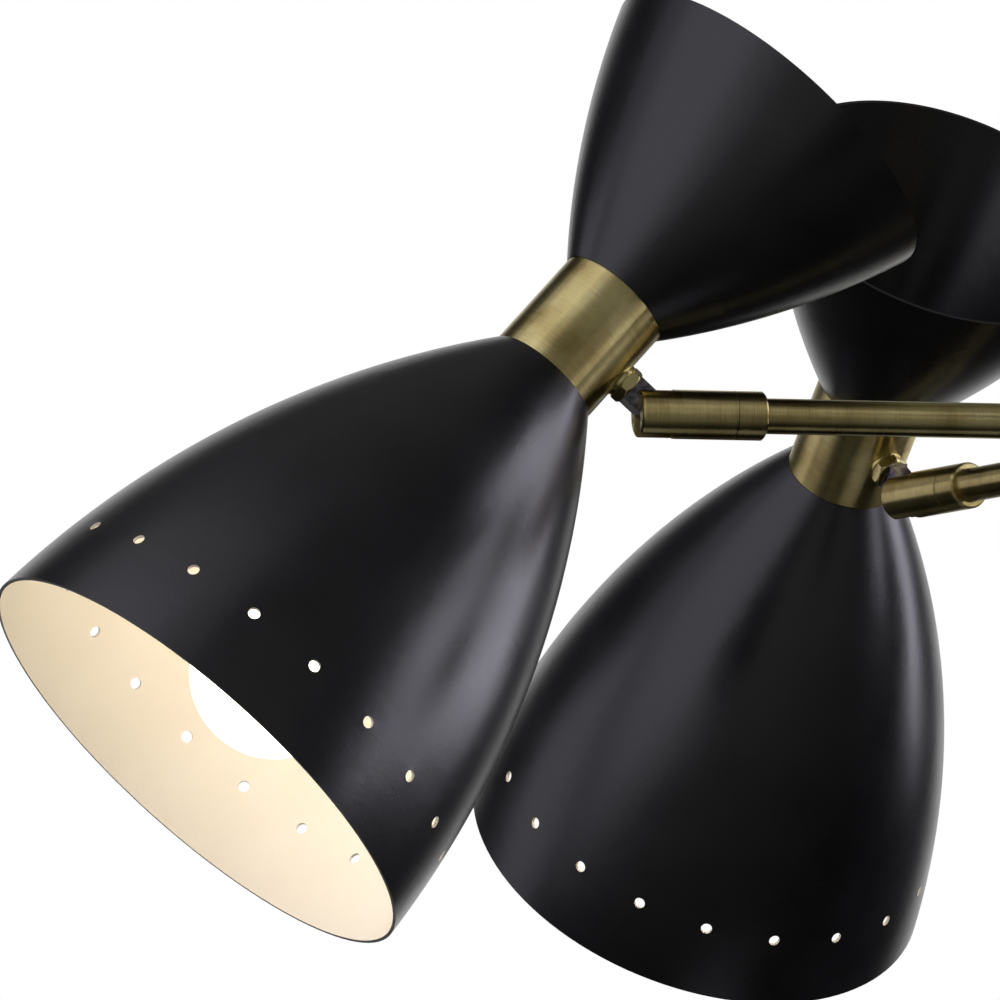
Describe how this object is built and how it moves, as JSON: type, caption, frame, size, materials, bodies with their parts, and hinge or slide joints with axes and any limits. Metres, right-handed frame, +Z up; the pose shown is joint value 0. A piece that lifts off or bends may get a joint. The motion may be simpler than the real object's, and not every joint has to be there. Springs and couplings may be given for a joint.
{
  "type": "pendant light",
  "caption": "Rod-hung ceiling pendant: rods around a hub carry black diabolo shades with brass collars and pierced rims, each on a friction-held swivel and tilt hinge.",
  "frame": {"origin": "on the ceiling, midway between the two screw slots of the ceiling bracket", "axes": "+Z up into the ceiling; the first arm points along -X and the rest follow clockwise seen from above"},
  "size_m": [0.7268, 0.759, 0.4957],
  "materials": {
    "shade_black": "satin black outside, cream inside the lower shade",
    "antique_brass": "brushed antique",
    "steel": "zinc plated",
    "holder_plastic": "moulded",
    "bulb_opal": "opal globe, lit"
  },
  "bodies": {
    "frame": {"ceiling_bracket": "steel", "bracket_nut": "steel", "canopy": "antique_brass", "canopy_ring": "antique_brass", "stem_tube": "antique_brass", "hub_coupler": "antique_brass", "hub_body": "antique_brass", "hub_cap": "antique_brass", "hub_finial": "antique_brass", "swivel_rings": "antique_brass", "arm_rod_1": "antique_brass", "arm_rod_2": "antique_brass", "arm_rod_3": "antique_brass", "arm_rod_4": "antique_brass", "arm_rod_5": "antique_brass"},
    "swivel_1": {"swivel_barrel_1": "antique_brass", "pivot_pin_1": "antique_brass"},
    "head_1": {"pivot_stud_1": "antique_brass", "neck_collar_1": "antique_brass", "lower_shade_1": "shade_black", "upper_shade_1": "shade_black", "lamp_holder_1": "holder_plastic", "clamp_nut_1": "antique_brass", "bulb_1": "bulb_opal"},
    "swivel_2": {"swivel_barrel_2": "antique_brass", "pivot_pin_2": "antique_brass"},
    "head_2": {"pivot_stud_2": "antique_brass", "neck_collar_2": "antique_brass", "lower_shade_2": "shade_black", "upper_shade_2": "shade_black", "lamp_holder_2": "holder_plastic", "clamp_nut_2": "antique_brass", "bulb_2": "bulb_opal"},
    "swivel_3": {"swivel_barrel_3": "antique_brass", "pivot_pin_3": "antique_brass"},
    "head_3": {"pivot_stud_3": "antique_brass", "neck_collar_3": "antique_brass", "lower_shade_3": "shade_black", "upper_shade_3": "shade_black", "lamp_holder_3": "holder_plastic", "clamp_nut_3": "antique_brass", "bulb_3": "bulb_opal"},
    "swivel_4": {"swivel_barrel_4": "antique_brass", "pivot_pin_4": "antique_brass"},
    "head_4": {"pivot_stud_4": "antique_brass", "neck_collar_4": "antique_brass", "lower_shade_4": "shade_black", "upper_shade_4": "shade_black", "lamp_holder_4": "holder_plastic", "clamp_nut_4": "antique_brass", "bulb_4": "bulb_opal"},
    "swivel_5": {"swivel_barrel_5": "antique_brass", "pivot_pin_5": "antique_brass"},
    "head_5": {"pivot_stud_5": "antique_brass", "neck_collar_5": "antique_brass", "lower_shade_5": "shade_black", "upper_shade_5": "shade_black", "lamp_holder_5": "holder_plastic", "clamp_nut_5": "antique_brass", "bulb_5": "bulb_opal"}
  },
  "joints": [
    {"name": "head_1_swivel", "type": "hinge", "parent": "frame", "child": "swivel_1", "pos_m": [-0.195, 0, -0.34], "axis": [-1, 0, 0], "range_deg": [-63.5, 56.5]},
    {"name": "head_1_tilt", "type": "hinge", "parent": "swivel_1", "child": "head_1", "pos_m": [-0.195, 0, -0.34], "axis": [0, 0.9981, -0.061], "range_deg": [-88, 22]},
    {"name": "head_2_swivel", "type": "hinge", "parent": "frame", "child": "swivel_2", "pos_m": [-0.06026, 0.18546, -0.34], "axis": [-0.309, 0.9511, 0], "range_deg": [-51, 69]},
    {"name": "head_2_tilt", "type": "hinge", "parent": "swivel_2", "child": "head_2", "pos_m": [-0.06026, 0.18546, -0.34], "axis": [0.9393, 0.3052, 0.1564], "range_deg": [-90, 20]},
    {"name": "head_3_swivel", "type": "hinge", "parent": "frame", "child": "swivel_3", "pos_m": [0.15776, 0.11462, -0.34], "axis": [0.809, 0.5878, 0], "range_deg": [-60, 60]},
    {"name": "head_3_tilt", "type": "hinge", "parent": "swivel_3", "child": "head_3", "pos_m": [0.15776, 0.11462, -0.34], "axis": [0.5878, -0.809, 0], "range_deg": [-89, 21]},
    {"name": "head_4_swivel", "type": "hinge", "parent": "frame", "child": "swivel_4", "pos_m": [0.15776, -0.11462, -0.34], "axis": [0.809, -0.5878, 0], "range_deg": [-60, 60]},
    {"name": "head_4_tilt", "type": "hinge", "parent": "swivel_4", "child": "head_4", "pos_m": [0.15776, -0.11462, -0.34], "axis": [-0.5878, -0.809, 0], "range_deg": [-89, 21]},
    {"name": "head_5_swivel", "type": "hinge", "parent": "frame", "child": "swivel_5", "pos_m": [-0.06026, -0.18546, -0.34], "axis": [-0.309, -0.9511, 0], "range_deg": [-60, 60]},
    {"name": "head_5_tilt", "type": "hinge", "parent": "swivel_5", "child": "head_5", "pos_m": [-0.06026, -0.18546, -0.34], "axis": [-0.9511, 0.309, 0], "range_deg": [-89, 21]}
  ]
}
